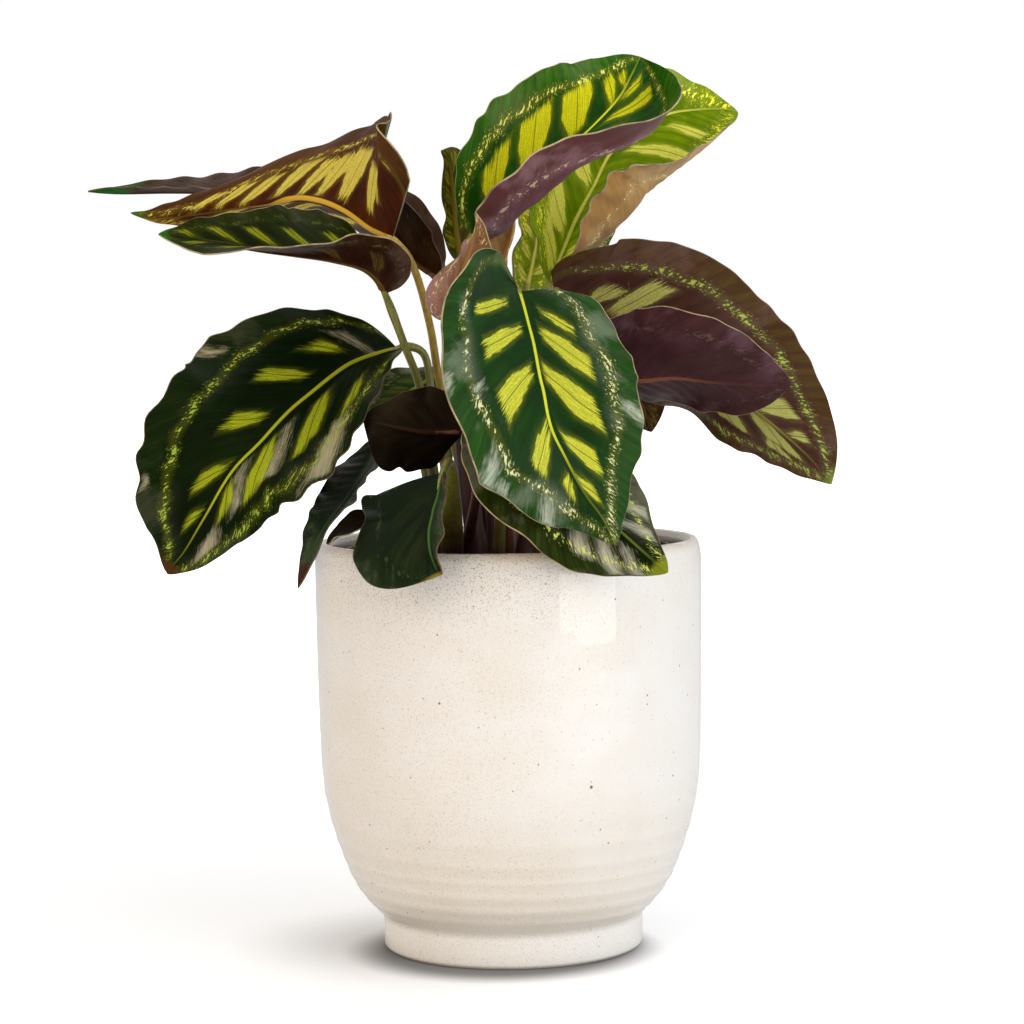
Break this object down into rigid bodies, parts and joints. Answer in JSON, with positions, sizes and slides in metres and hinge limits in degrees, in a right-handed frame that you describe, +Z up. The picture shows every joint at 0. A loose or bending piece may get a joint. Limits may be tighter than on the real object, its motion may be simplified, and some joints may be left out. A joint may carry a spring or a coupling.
{
  "type": "potted flamestar calathea",
  "caption": "Prayer plant with flame-marked green leaves and maroon undersides, in a nursery pot standing inside a round speckled stoneware planter.",
  "frame": {"origin": "centre of the planter's flat underside", "axes": "+Z up, +X to the plant's right seen from the front, +Y to its back"},
  "size_m": [0.344, 0.2487, 0.3895],
  "materials": {
    "glazed_stoneware": "cream glaze with fine brown speckle, satin gloss",
    "black_plastic": "black thin-walled plastic",
    "potting_mix": "loose damp brown potting mix",
    "leaf_green": "waxy green leaf, satin",
    "leaf_dark": "deep green leaf, satin",
    "leaf_bright": "backlit yellow-green leaf, satin",
    "leaf_striped": "brown leaf underside with yellow flames, satin",
    "leaf_maroon": "maroon leaf underside, soft satin",
    "leaf_mauve": "purple leaf underside, soft satin",
    "leaf_tan": "tan rolled leaf, matt",
    "leaf_brown": "dark brown leaf, matt"
  },
  "bodies": {
    "root": {"planter": "glazed_stoneware", "nursery_pot": "black_plastic", "potting_mix": "potting_mix", "front_leaf": "leaf_green", "left_leaf": "leaf_dark", "upper_left_leaf": "leaf_maroon", "striped_leaf": "leaf_striped", "far_left_leaf": "leaf_maroon", "top_leaf": "leaf_green", "bright_leaf": "leaf_bright", "narrow_leaf": "leaf_bright", "rolled_leaf": "leaf_striped", "mauve_leaf": "leaf_mauve", "tan_leaf": "leaf_tan", "right_leaf": "leaf_maroon", "right_small_leaf": "leaf_mauve", "back_leaf": "leaf_green", "back_right_leaf": "leaf_maroon", "lower_front_leaf": "leaf_dark", "hanging_leaf": "leaf_dark", "dark_leaf": "leaf_brown", "shaded_leaf": "leaf_dark", "folded_leaf": "leaf_dark", "dried_leaf": "leaf_brown"}
  },
  "joints": []
}
